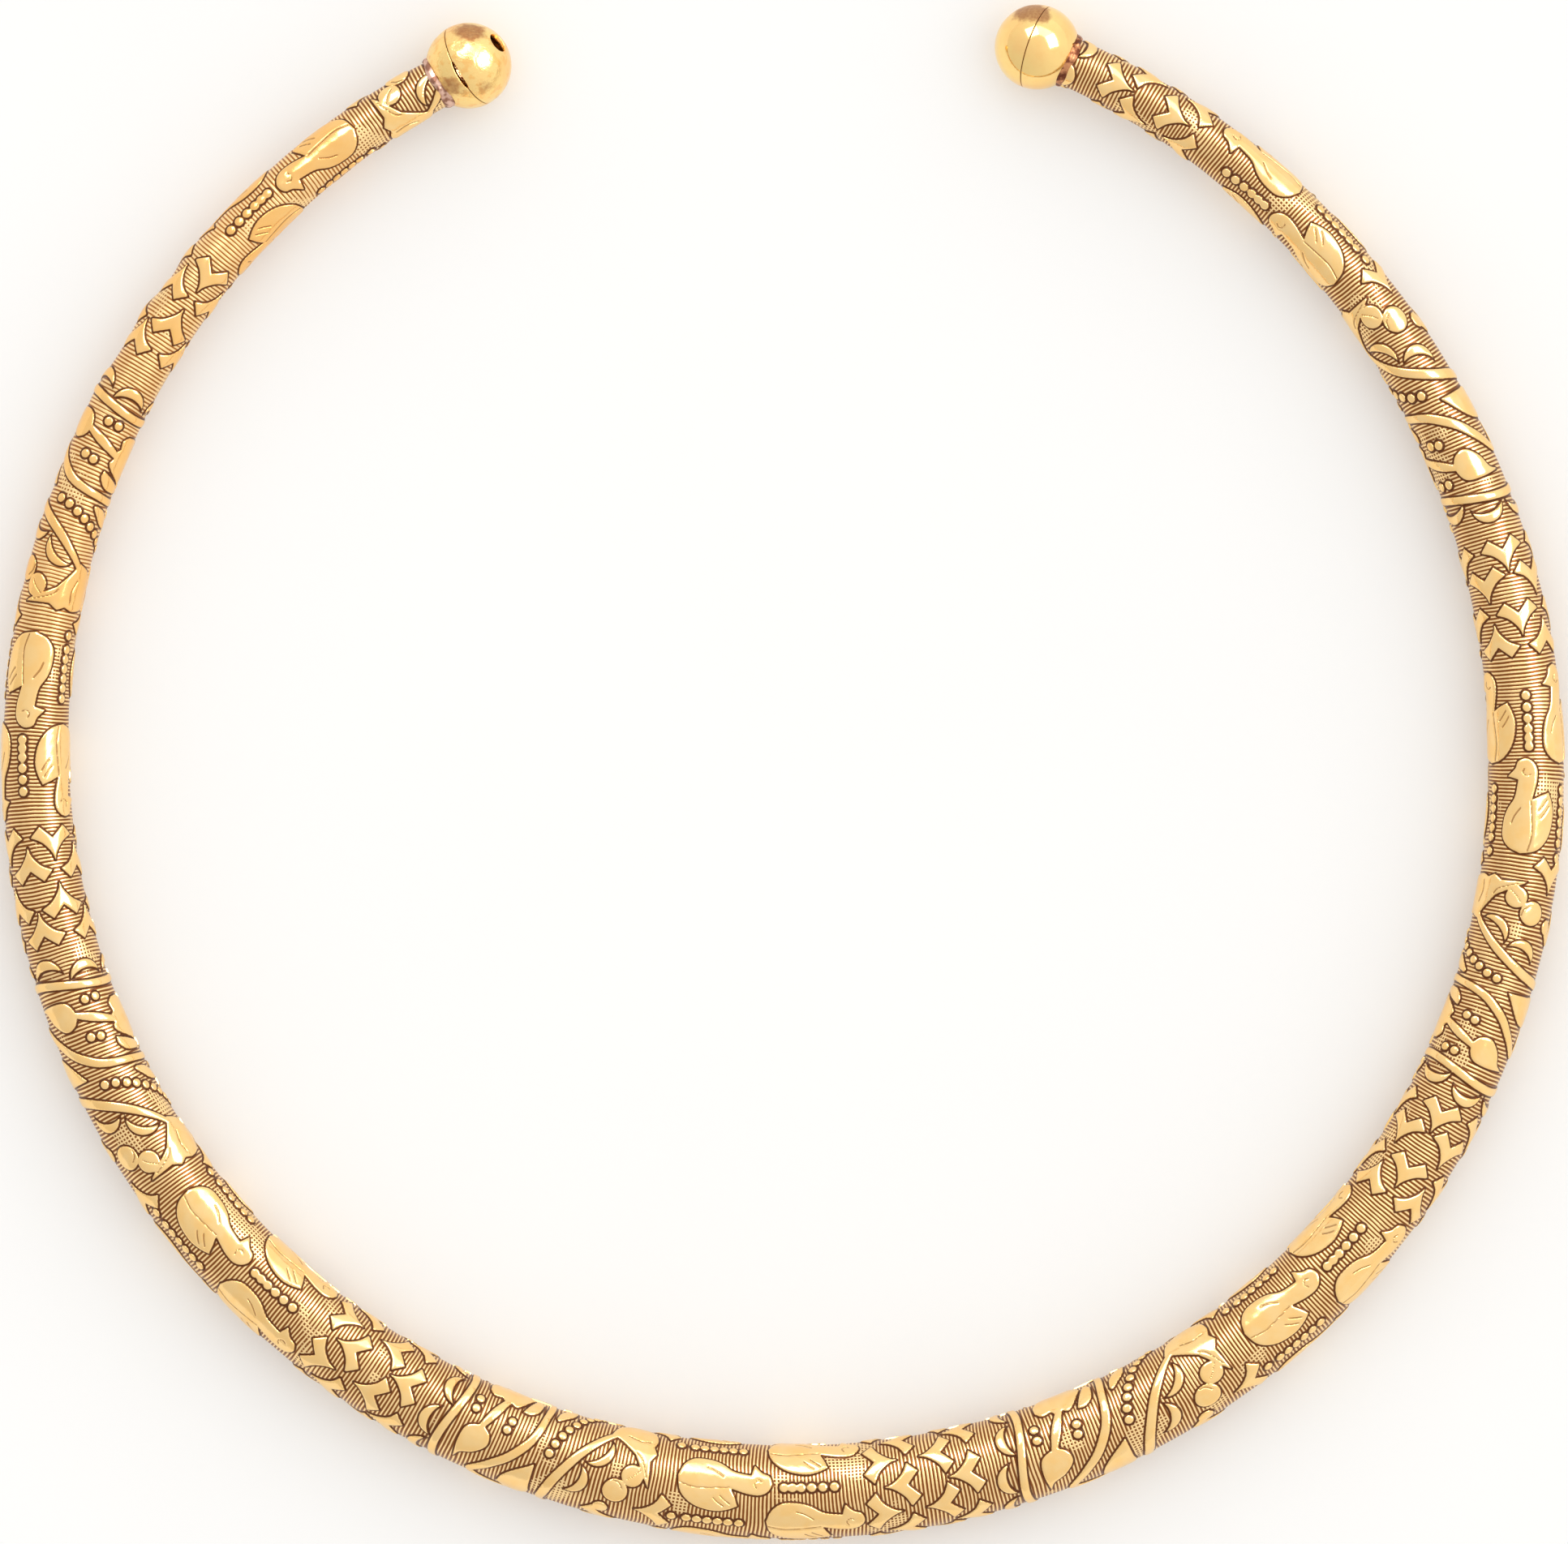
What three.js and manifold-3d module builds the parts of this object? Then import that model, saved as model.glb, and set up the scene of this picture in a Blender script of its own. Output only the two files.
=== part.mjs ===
// Gold torc: a rigid, open neck ring of thin sheet gold. The sheet was struck over a die, strike after
// strike, rolled into a tapering tube and closed by a butt seam along the inner side. A hollow ball made
// of two cups is soldered to each end. The ring lies flat with its gap towards +Y and +Z upwards.
import * as THREE from "three";
import { mergeVertices } from "three/addons/utils/BufferGeometryUtils.js";
import Module from "manifold-3d";

const wasm = await Module();
wasm.setup();

// ---- Driving dimensions, in millimetres and degrees ----

// The tube's centreline: nearly a circle, a little out of round from bending by hand.
const hoopCentre = new THREE.Vector2(-0.2, 1.92);
const hoopRadius = 66.76;
const handBends = [
  { lobes: 2, cosine: -0.06, sine: -0.36 },
  { lobes: 3, cosine: -0.06, sine: -0.32 },
];

// Outer radius of the tube, relief included, at equal steps from its left end to its right end.
const girth = [2.34, 2.56, 3.05, 3.58, 4.01, 4.3, 4.02, 3.64, 3.42, 2.8, 2.34];
const reliefHeight = 0.3;

// Height of the centreline over the surface it lies on: each is a hair less than the radius there.
const frontHeight = 3.9;
const ballHeight = 3.82;

// Each ball's seam lies square to the line through its poles. The outer pole, with its round hole,
// points along the hoop, turned a little in plan and raised or lowered.
const leftBall = { name: "left", angle: 114.6, offLine: 0.2, radius: 3.85, turn: 3.5, rise: 18 };
const rightBall = { name: "right", angle: 430, offLine: 0.1, radius: 3.81, turn: 2.5, rise: -5 };
const cupWall = 0.45;
const cupGap = 0.1;
const poleHole = 0.95;
const jointGap = 0.15;
const solderWidth = 0.75;
const solderHeight = 0.34;

// The die: one strike prints a band of chevrons, a band of vines and a band of birds. Its rows repeat
// round the tube every dieWidth. Bands start at these distances along the tube, and the sheet was not
// always laid alike, so each strike is shifted a little round the tube.
const dieWidth = 15;
const chevronStrikes = [
  { start: 25.9, shift: 2.2 },
  { start: 80.3, shift: 1.7 },
  { start: 133.3, shift: -0.5 },
  { start: 185.2, shift: 0.1 },
  { start: 239.5, shift: 0.1 },
  { start: 291.4, shift: 0.7 },
  { start: 347.5, shift: -1.6 },
];
const vineStrikes = [
  { start: -13.4, shift: 0.7 },
  { start: 41.1, shift: 1.1 },
  { start: 94.4, shift: 0 },
  { start: 147.1, shift: -0.3 },
  { start: 199.8, shift: 0 },
  { start: 254.1, shift: 0 },
  { start: 306.1, shift: -0.9 },
];
const birdStrikes = [
  { start: 8.5, shift: 1.4 },
  { start: 62.8, shift: 1.5 },
  { start: 115.7, shift: -0.1 },
  { start: 168.3, shift: -0.4 },
  { start: 222.5, shift: 0.1 },
  { start: 273.7, shift: 0.3 },
  { start: 329.1, shift: -1.7 },
];

const chevronLength = 3.0;
const chevronHalfHeight = 2.03;
const chevronArm = 1.16;
// Columns of chevrons: where their points lie along the strike, half a row up or not, and which way
// they point.
const chevronTips = [
  { tip: 3.1, row: 0.5, points: 1 },
  { tip: 1.75, row: 0, points: -1 },
  { tip: 5.15, row: 0.5, points: -1 },
  { tip: 7.55, row: 0, points: -1 },
];

// How fine the solids are: facets round the tube and a ball, lengths of tube between two rings, and
// the largest angle that a stretch of relief spans round the tube.
const tubeFacets = 16;
const tubeLengths = 46;
const ballFacets = 16;
const largestFold = 38;
// A relief form sinks this far into the plain tube, and its ends slope over this length.
const reliefRoot = 0.15;
const endSlope = 0.25;
// Forms are raised this far round the tube from its top line; the underside is plain.
const reliefReach = 70;

const radians = THREE.MathUtils.degToRad;

// ---- The tube's centreline and its frame ----

// The line through both ball centres and the tube, at an angle measured round the hoop's centre.
function onHoop(degrees, offLine = 0) {
  const angle = radians(degrees);
  const bend = (sum, b) => sum + b.cosine * Math.cos(b.lobes * angle) + b.sine * Math.sin(b.lobes * angle);
  const radius = handBends.reduce(bend, hoopRadius) + offLine;
  const x = hoopCentre.x + radius * Math.cos(angle);
  const y = hoopCentre.y + radius * Math.sin(angle);
  const back = (y - hoopCentre.y + hoopRadius) / (2 * hoopRadius);
  return new THREE.Vector3(x, y, THREE.MathUtils.lerp(frontHeight, ballHeight, back));
}

// The tube ends just inside the ball's outline, where the ball's own shape then trims its rim.
function seatAngle(ball, endRadius) {
  const toRim = Math.sqrt(ball.radius ** 2 - endRadius ** 2);
  return THREE.MathUtils.radToDeg(toRim / hoopRadius);
}

const leftEnd = leftBall.angle + seatAngle(leftBall, girth[0]);
const rightEnd = rightBall.angle - seatAngle(rightBall, girth[girth.length - 1]);

class HoopLine extends THREE.Curve {
  getPoint(t) {
    return onHoop(THREE.MathUtils.lerp(leftEnd, rightEnd, t));
  }
}

const line = new HoopLine();
line.arcLengthDivisions = 2000;
const tubeLength = line.getLength();
const girthCurve = new THREE.SplineCurve(girth.map((r, i) => new THREE.Vector2(i, r)));

function baseRadius(distance) {
  const t = THREE.MathUtils.clamp(distance / tubeLength, 0, 1);
  return girthCurve.getPoint(t).y - reliefHeight;
}

const frames = new Map();

function frameAt(distance) {
  if (!frames.has(distance)) {
    const t = distance / tubeLength;
    const centre = line.getPointAt(t);
    const tangent = line.getTangentAt(t);
    const outward = new THREE.Vector3().crossVectors(tangent, new THREE.Vector3(0, 0, 1)).normalize();
    const up = new THREE.Vector3().crossVectors(outward, tangent);
    frames.set(distance, { centre, tangent, outward, up });
  }
  return frames.get(distance);
}

// A point of the tube: distance along it, angle round it from the top line towards the outside of the
// hoop, and height over the plain sheet.
function onTube(distance, angle, height = 0) {
  const { centre, outward, up } = frameAt(distance);
  const radius = baseRadius(distance) + height;
  return centre
    .clone()
    .addScaledVector(outward, radius * Math.sin(angle))
    .addScaledVector(up, radius * Math.cos(angle));
}

// ---- Closed meshes in and out of manifold-3d ----

function solidFrom(geometry) {
  const bare = geometry.clone();
  bare.deleteAttribute("normal");
  bare.deleteAttribute("uv");
  const merged = mergeVertices(bare, 1e-5);
  return new wasm.Manifold(
    new wasm.Mesh({
      numProp: 3,
      vertProperties: merged.attributes.position.array,
      triVerts: new Uint32Array(merged.index.array),
    }),
  );
}

function geometryFrom(solid) {
  const mesh = solid.getMesh();
  const geometry = new THREE.BufferGeometry();
  geometry.setAttribute("position", new THREE.BufferAttribute(mesh.vertProperties, 3));
  geometry.setIndex(new THREE.BufferAttribute(mesh.triVerts, 1));
  geometry.computeVertexNormals();
  return geometry;
}

function geometryOf(points, triangles) {
  const geometry = new THREE.BufferGeometry().setFromPoints(points);
  geometry.setIndex(triangles);
  return geometry;
}

// Wears away what would reach under the surface that the ring lies on, which leaves a small flat.
function wornFlat(solid) {
  const size = 400;
  const surface = new THREE.BoxGeometry(size, size, size).translate(0, 0, -size / 2);
  return solid.subtract(solidFrom(surface));
}

// ---- The plain tube ----

const facet = (2 * Math.PI) / tubeFacets;
// Angles of the tube's lengthwise edges, set so that one facet faces straight down.
const facetEdges = Array.from({ length: tubeFacets }, (_, k) => (k + 0.5) * facet - Math.PI);

function plainTube() {
  const distances = Array.from({ length: tubeLengths + 1 }, (_, i) => (i * tubeLength) / tubeLengths);
  const rings = distances.map((d) => facetEdges.map((angle) => onTube(d, angle)));
  const points = [...rings.flat(), line.getPoint(0), line.getPoint(1)];
  const left = points.length - 2;
  const right = points.length - 1;
  const lastRing = (rings.length - 1) * tubeFacets;
  const triangles = [];
  for (let k = 0; k < tubeFacets; k++) {
    const next = (k + 1) % tubeFacets;
    triangles.push(left, next, k);
    triangles.push(right, lastRing + k, lastRing + next);
    for (let i = 0; i < rings.length - 1; i++) {
      const a = i * tubeFacets + k;
      const b = i * tubeFacets + next;
      triangles.push(a, b, a + tubeFacets);
      triangles.push(b, b + tubeFacets, a + tubeFacets);
    }
  }
  return geometryOf(points, triangles);
}

// ---- Relief: forms on the unrolled strip, x along the tube and y round it ----

// Points of a line across the strip, close enough to follow the tube's curve, each with its half width.
function followed(points, distance) {
  const along = [points[0]];
  for (let i = 1; i < points.length; i++) {
    const [from, to] = [points[i - 1], points[i]];
    const turn = Math.abs(to[1] - from[1]) / baseRadius(distance + to[0]);
    const steps = Math.max(1, Math.ceil(turn / radians(largestFold)));
    for (let k = 1; k <= steps; k++) {
      along.push(from.map((value, j) => THREE.MathUtils.lerp(value, to[j], k / steps)));
    }
  }
  return along;
}

// The two feet of a ridge at a point of its crest: square to the line at its ends, and mitred at its
// corners. They are rooted in the tube, so they spread wider than the ridge does on its surface.
function feetAt(points, i) {
  const [x, y, halfWidth] = points[i];
  const step = (a, b) => new THREE.Vector2(b[0] - a[0], b[1] - a[1]).normalize();
  const before = i > 0 ? step(points[i - 1], points[i]) : step(points[0], points[1]);
  const after = i < points.length - 1 ? step(points[i], points[i + 1]) : before;
  const along = before.clone().add(after).normalize();
  const reach = (halfWidth * (reliefHeight + reliefRoot)) / reliefHeight / along.dot(before);
  const across = new THREE.Vector2(-along.y, along.x).multiplyScalar(reach);
  const overhang = (i === 0 ? -1 : i === points.length - 1 ? 1 : 0) * endSlope;
  const foot = new THREE.Vector2(x, y).addScaledVector(along, overhang);
  return [foot.clone().add(across), foot.clone().sub(across)];
}

// A ridge struck up out of the sheet: a crest that falls away to both sides, rooted in the tube. Its
// points are [x, y, half width].
function ridge(line, start, shift) {
  const points = followed(line, start);
  const bend = (x, y, height) => onTube(start + x, (shift + y) / baseRadius(start + x), height);
  const crest = points.map(([x, y]) => bend(x, y, reliefHeight));
  const feet = points.map((_, i) => feetAt(points, i).map((foot) => bend(foot.x, foot.y, -reliefRoot)));
  const [left, right] = [0, 1].map((side) => feet.map((pair) => pair[side]));
  const last = points.length - 1;
  const faces = [crest[0], right[0], left[0], crest[last], left[last], right[last]];
  for (let i = 0; i < last; i++) {
    faces.push(crest[i], left[i], left[i + 1], crest[i], left[i + 1], crest[i + 1]);
    faces.push(crest[i], right[i + 1], right[i], crest[i], crest[i + 1], right[i + 1]);
    faces.push(left[i], right[i], left[i + 1], right[i], right[i + 1], left[i + 1]);
  }
  return solidFrom(new THREE.BufferGeometry().setFromPoints(faces));
}

// Two straight arms that meet in a point.
function chevron(points) {
  const end = [-0.86 * points * chevronLength, 0.76 * chevronHalfHeight, chevronArm / 2];
  const tip = [-0.3 * points * chevronLength, 0, chevronArm / 2];
  return [[end[0], -end[1], end[2]], tip, end];
}

// The rib that starts a vine band waves as it goes round the tube.
const wavyRib = { swing: 0.94, halfWidth: 0.34, steps: 8 };

function wavyRibLine(reach) {
  return Array.from({ length: wavyRib.steps + 1 }, (_, i) => {
    const y = reach * ((2 * i) / wavyRib.steps - 1);
    return [-wavyRib.swing * Math.sin((2 * Math.PI * y) / dieWidth), y, wavyRib.halfWidth];
  });
}

// The vine band, from its wavy rib on: x = 0 is the rib where it crosses the band's middle.
const vineMotifs = {
  longRib: [[3.5, 4.9, 0.36], [6, 2.3, 0.36], [7.6, 0, 0.36], [8.35, -2.9, 0.36], [8.6, -4.6, 0.3]],
  curledRib: [[10, 5.1, 0.4], [11, 2.2, 0.4], [12.8, -0.7, 0.36], [15.2, -3.2, 0.26], [17, -4, 0.15]],
  drop: [[1.8, 4.2, 0.1], [2.5, 2.2, 1.1], [2.6, 1.2, 1]],
  fanLeaf: [[15.4, -2.9, 0.3], [17, -1.8, 1.3], [18.6, -1.3, 2.4]],
  largeBerry: [[16.2, 2.2, 0.9], [17, 2.2, 0.9]],
  smallBerry: [[17.6, 0.6, 0.75], [18.3, 0.6, 0.75]],
};

// A bird that walks to the right with its head turned down: its body with neck and head, and its wing.
// x = 0 is its tail.
const birdParts = [
  [[0.4, -0.9, 0.7], [2.2, -0.8, 1.7], [5.8, -0.5, 0.5], [7.6, -0.6, 0.8], [7.2, -2.1, 0.2]],
  [[1.6, 1.1, 0.7], [3.6, 1.4, 0.6], [5.2, 1.5, 0.15]],
];

const birdColumns = [
  { along: 0, row: 0 },
  { along: 8.1, row: 0.5 },
];

// Centres of the rows of a motif, spaced by pitch round the tube, that lie within the relief's reach.
function rows(distance, first, pitch) {
  const reach = radians(reliefReach) * baseRadius(distance);
  const lowest = Math.ceil((-reach - first) / pitch);
  const count = Math.floor((reach - first) / pitch) - lowest + 1;
  return Array.from({ length: Math.max(0, count) }, (_, i) => first + (lowest + i) * pitch);
}

// Whether a motif lies between the two solder rings.
function onSheet(low, high) {
  const bare = solderWidth + 1;
  return low > bare && high < tubeLength - bare;
}

// How far a form reaches along the tube.
function span(line) {
  const along = line.map(([x]) => x);
  return [Math.min(...along), Math.max(...along)];
}

function* chevronBands() {
  const pitch = dieWidth / 3;
  for (const { start, shift } of chevronStrikes) {
    for (const { tip, row, points } of chevronTips) {
      const at = start + tip;
      if (!onSheet(at - chevronLength, at + chevronLength)) continue;
      for (const y of rows(at, shift + row * pitch, pitch)) yield ridge(chevron(points), at, y);
    }
  }
}

function* vineBands() {
  for (const { start, shift } of vineStrikes) {
    if (onSheet(start - 1, start + 1)) {
      const reach = radians(reliefReach) * baseRadius(start);
      yield ridge(wavyRibLine(reach), start, 0);
    }
    for (const line of Object.values(vineMotifs)) {
      const [low, high] = span(line);
      const [x, y] = line[Math.floor(line.length / 2)];
      if (!onSheet(start + low, start + high)) continue;
      for (const row of rows(start + x, shift + y, dieWidth)) yield ridge(line, start, row - y);
    }
  }
}

function* birdBands() {
  const pitch = dieWidth / 2;
  for (const { start, shift } of birdStrikes) {
    for (const { along, row } of birdColumns) {
      const tail = start + along;
      const [low, high] = span(birdParts.flat());
      if (!onSheet(tail + low, tail + high)) continue;
      for (const y of rows(tail, shift + row * pitch, pitch)) {
        for (const part of birdParts) yield ridge(part, tail, y);
      }
    }
  }
}

function tubeSolid() {
  const plain = solidFrom(plainTube());
  const relief = [...chevronBands(), ...vineBands(), ...birdBands()];
  const whole = relief.reduce((sum, piece) => sum.add(piece), plain);
  return wornFlat(whole.subtract(ballSpace(leftBall)).subtract(ballSpace(rightBall)));
}

// ---- The balls and the solder ----

// One hollow half of a ball, its open face at y = 0 and its pole towards +y, with a hole at the pole
// where the hole's radius isn't 0.
function cup(radius, hole) {
  const arc = (r, steps) =>
    Array.from({ length: steps + 1 }, (_, i) => {
      const low = Math.asin(cupGap / 2 / r);
      const high = Math.acos(hole / r);
      const angle = THREE.MathUtils.lerp(low, high, i / steps);
      return new THREE.Vector2(i === steps ? hole : r * Math.cos(angle), r * Math.sin(angle));
    });
  const outside = arc(radius, 5);
  const inside = arc(radius - cupWall, 2).reverse();
  const profile = [...inside, ...outside];
  if (hole > 0) profile.push(inside[0].clone());
  return new THREE.LatheGeometry(profile, ballFacets);
}

// The outer cup of a ball has its hole at the outer pole, and the inner cup sits on the tube.
function cups(ball) {
  const along = radians(ball.angle + (ball === leftBall ? -90 : 90) + ball.turn);
  const rise = radians(ball.rise);
  const pole = new THREE.Vector3(
    Math.cos(along) * Math.cos(rise),
    Math.sin(along) * Math.cos(rise),
    Math.sin(rise),
  );
  const outer = new THREE.Mesh(cup(ball.radius, poleHole), ballGold);
  outer.name = `${ball.name}_ball_outer_cup`;
  const inner = new THREE.Mesh(cup(ball.radius, 0), ballGold);
  inner.name = `${ball.name}_ball_inner_cup`;
  inner.rotation.x = Math.PI;
  const whole = new THREE.Group();
  whole.position.copy(ballCentre(ball));
  whole.quaternion.setFromUnitVectors(new THREE.Vector3(0, 1, 0), pole);
  return whole.add(outer, inner);
}

// Solder fills the corner between the tube's end and the ball. Its profile goes round the tube's end:
// distance from the tube's axis, and distance from the end.
function solderRing(ball) {
  const distance = ball === leftBall ? 0 : tubeLength;
  const inner = baseRadius(distance) + jointGap / 2;
  const outer = inner + solderHeight;
  const profile = [
    [inner, -solderWidth],
    [outer, -solderWidth],
    [outer, 0.6 * solderWidth],
    [inner, solderWidth],
    [inner, -solderWidth],
  ];
  const ring = new THREE.LatheGeometry(profile.map(([x, y]) => new THREE.Vector2(x, y)), ballFacets);
  const { centre, tangent } = frameAt(distance);
  const away = tangent.clone().multiplyScalar(ball === leftBall ? 1 : -1);
  const turn = new THREE.Quaternion().setFromUnitVectors(new THREE.Vector3(0, 1, 0), away);
  ring.applyQuaternion(turn).translate(centre.x, centre.y, centre.z);
  return solidFrom(ring).subtract(ballSpace(ball));
}

function ballCentre(ball) {
  return onHoop(ball.angle, ball.offLine).setZ(ball.radius);
}

// The room that a ball takes, with a little air round it.
function ballSpace(ball) {
  const { x, y, z } = ballCentre(ball);
  return solidFrom(new THREE.SphereGeometry(ball.radius + jointGap, 14, 9).translate(x, y, z));
}

// ---- The whole torc ----

const strapGold = new THREE.MeshStandardMaterial({ color: 0xd9a545, roughness: 0.34, metalness: 1 });
const ballGold = new THREE.MeshStandardMaterial({ color: 0xdca94b, roughness: 0.3, metalness: 1 });
const solder = new THREE.MeshStandardMaterial({ color: 0xc98a63, roughness: 0.45, metalness: 1 });

function named(name, solid, material) {
  const mesh = new THREE.Mesh(geometryFrom(solid), material);
  mesh.name = name;
  return mesh;
}

const torc = new THREE.Group();
torc.add(named("tube", tubeSolid(), strapGold));
for (const ball of [leftBall, rightBall]) {
  torc.add(named(`${ball.name}_solder_ring`, solderRing(ball), solder));
  torc.add(cups(ball));
}

export default torc;
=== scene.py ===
# %% [markdown]
# # A gold torc
# A torc is a stiff, open neck ring. This one is thin sheet gold: the sheet was struck over a carved die,
# strike after strike, rolled into a tapering tube and bent to a hoop, and a hollow ball closes each end.
# The construction is loaded first, as a fixed frame. Everything below dresses that frame, in metres.

# %% Load the frame
import math
import bmesh
import bpy
import numpy as np
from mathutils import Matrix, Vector


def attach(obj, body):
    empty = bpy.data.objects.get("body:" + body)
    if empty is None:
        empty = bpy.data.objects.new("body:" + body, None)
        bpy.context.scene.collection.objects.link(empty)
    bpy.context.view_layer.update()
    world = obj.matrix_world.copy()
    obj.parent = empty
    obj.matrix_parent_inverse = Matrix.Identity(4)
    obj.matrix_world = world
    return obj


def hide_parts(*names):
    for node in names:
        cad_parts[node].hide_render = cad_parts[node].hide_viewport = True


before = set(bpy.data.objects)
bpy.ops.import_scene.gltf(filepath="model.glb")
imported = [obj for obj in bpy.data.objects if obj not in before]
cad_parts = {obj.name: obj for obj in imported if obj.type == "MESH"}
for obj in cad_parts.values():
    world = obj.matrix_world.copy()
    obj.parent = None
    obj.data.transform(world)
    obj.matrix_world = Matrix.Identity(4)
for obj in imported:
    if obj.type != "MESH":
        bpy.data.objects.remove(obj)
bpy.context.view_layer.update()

MM = 0.001

# %% [markdown]
# ## The hoop
# The tube's centreline is nearly a circle. It was bent by hand, so it is a little out of round, which two
# slow waves of the radius give. The same few numbers drive the solids, so both follow one line.

# %% The centreline
hoop_centre = (-0.2, 1.92)
hoop_radius = 66.76
hand_bends = [(2, -0.06, -0.36), (3, -0.06, -0.32)]  # lobes, and the cosine and sine parts of each wave
front_height, ball_height = 3.9, 3.82


def on_hoop(degrees, off_line=0.0):
    """Points of the centreline, in mm, at angles measured round the hoop's centre."""
    angle = np.radians(degrees)
    waves = [c * np.cos(n * angle) + s * np.sin(n * angle) for n, c, s in hand_bends]
    radius = hoop_radius + off_line + sum(waves)
    x = hoop_centre[0] + radius * np.cos(angle)
    y = hoop_centre[1] + radius * np.sin(angle)
    back = (y - hoop_centre[1] + hoop_radius) / (2 * hoop_radius)
    return np.stack([x, y, front_height + (ball_height - front_height) * back], -1)


girth = [2.34, 2.56, 3.05, 3.58, 4.01, 4.3, 4.02, 3.64, 3.42, 2.8, 2.34]  # radius, end to end
left_ball = {"name": "left", "angle": 114.6, "off_line": 0.2, "radius": 3.85}
right_ball = {"name": "right", "angle": 430.0, "off_line": 0.1, "radius": 3.81}


def seat_angle(ball, end_radius):
    """How far round the hoop the tube's end sits from the ball's middle."""
    return math.degrees(math.sqrt(ball["radius"] ** 2 - end_radius**2) / hoop_radius)


left_end = left_ball["angle"] + seat_angle(left_ball, girth[0])
right_end = right_ball["angle"] - seat_angle(right_ball, girth[-1])
line_points = on_hoop(np.linspace(left_end, right_end, 4001))
line_lengths = np.r_[0, np.cumsum(np.linalg.norm(np.diff(line_points, axis=0), axis=1))]
tube_length = line_lengths[-1]
print("tube:", round(tube_length, 2), "mm along its centreline")

# %% [markdown]
# ## Small helpers for shapes
# Hand work is never quite even. A bump is one soft swelling, and a ripple is a seeded sum of a few waves,
# which gives the same gentle unevenness on every run. A curve runs smoothly through the points that it
# is given, so that a leaf or a rib needs only a few of them.


# %% Bumps, ripples and curves
def bump(x, centre, width):
    return np.exp(-(((x - centre) / width) ** 2))


def smooth(x, low, high):
    """0 below low, 1 above high, and an even S between them."""
    t = np.clip((x - low) / (high - low), 0, 1)
    return t * t * (3 - 2 * t)


def ripple(seed, length, *axes):
    """Uneven waves of about this length over one or more coordinates, from about -1 to 1."""
    draw = np.random.default_rng(seed)
    total = 0
    for _ in range(7):
        steps = draw.normal(size=len(axes)) * 2 * math.pi / length / math.sqrt(len(axes))
        total = total + np.sin(sum(k * a for k, a in zip(steps, axes)) + draw.uniform(0, 2 * math.pi))
    return total / 3.5


def between(p0, p1, p2, p3, t):
    """A smooth curve's stretch from p1 to p2, which heads for p0 and p3 at its ends."""
    v1, v2 = (p2 - p0) / 2, (p3 - p1) / 2
    return (2 * p1 - 2 * p2 + v1 + v2) * t**3 + (3 * p2 - 3 * p1 - 2 * v1 - v2) * t**2 + v1 * t + p1


def curve(points, steps=6):
    """Points along a smooth curve through these points."""
    p = np.array(points, float)
    if len(p) == 2:
        return p
    p = np.concatenate([2 * p[:1] - p[1:2], p, 2 * p[-1:] - p[-2:-1]])
    t = np.linspace(0, 1, steps, endpoint=False)[:, None]
    stretches = [between(*p[i : i + 4], t) for i in range(len(p) - 3)]
    return np.concatenate([*stretches, p[-2:-1]])


def tube_radius(along):
    """Outer radius of the tube, in mm, at distances along it."""
    t = np.clip(along / tube_length, 0, 1) * (len(girth) - 1)
    i = np.minimum(t.astype(int), len(girth) - 2)
    r = np.array([girth[0], *girth, girth[-1]])
    return between(r[i], r[i + 1], r[i + 2], r[i + 3], t - i)


# %% [markdown]
# ## The sheet
# The sheet is a fine grid: rows lie at even steps along the tube, and columns run round it from the butt
# seam on the inner side, over the top, round the underside and back to the seam. What the ring shows when
# it lies flat gets closer columns than its underside. Four fields on this grid hold the die's print: how
# far each point lies inside a form, how far from an engraved line, where the ground was cut deepest, and
# how much grime has gathered.

# %% The grid
row_count = 2400
shown_share, shown_columns, hidden_columns = 0.54, 112, 46
shown = np.linspace(0, shown_share, shown_columns, endpoint=False)
shares = np.r_[shown, np.linspace(shown_share, 1, hidden_columns)]
along = np.linspace(0, tube_length, row_count + 1)
radius = tube_radius(along)

seam_angle = np.radians(-93 + 31 * bump(along, 11, 4.5) + 2 * ripple(1, 40, along))
seam_openings = [(83.2, 2.2), (190.2, 1.6), (228.1, 4.4), (278.5, 3.4)]  # middle and half length, in mm
opened = sum(bump(along, middle, half) ** 2 for middle, half in seam_openings)
seam_half = 0.05 + 0.02 * ripple(2, 5, along) ** 2 + 0.2 * opened
lip = 0.1

girth_round = 2 * math.pi * radius
first = (seam_half + 2 * lip)[:, None]
sheet = first + (girth_round[:, None] - 2 * first) * shares
near = np.stack([0 * seam_half, 0.9 * seam_half, seam_half, seam_half + lip], 1)
far = girth_round[:, None] - near[:, :0:-1]
from_seam = np.concatenate([near, sheet, far], 1)
around = seam_angle[:, None] * radius[:, None] + from_seam  # mm round the tube from its top line
column_count = around.shape[1]
reach = 0.6
inside = np.full(around.shape, -reach)
crease = np.full(around.shape, reach)
hollow = np.zeros(around.shape)
soiled = np.zeros(around.shape)
print("grid:", around.shape, "points,", 2 * row_count * column_count, "triangles")

# %% [markdown]
# ## The die's forms
# A form is known by how deep a point lies inside its outline, in mm. That one number then gives the flat
# top, the rounded edge and the dark line round it. Leaves and birds are outlines, ribs are lines with a
# width, and beads and crescents are circles.


# %% Forms
class Form:
    """A form of the die: its box, how deep a point lies inside it, and its engraved lines."""

    def __init__(self, box, depth, lines=(), beaded=False):
        self.box = box
        self.depth = depth
        self.lines = [curve(line) for line in lines]
        self.beaded = beaded


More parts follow.
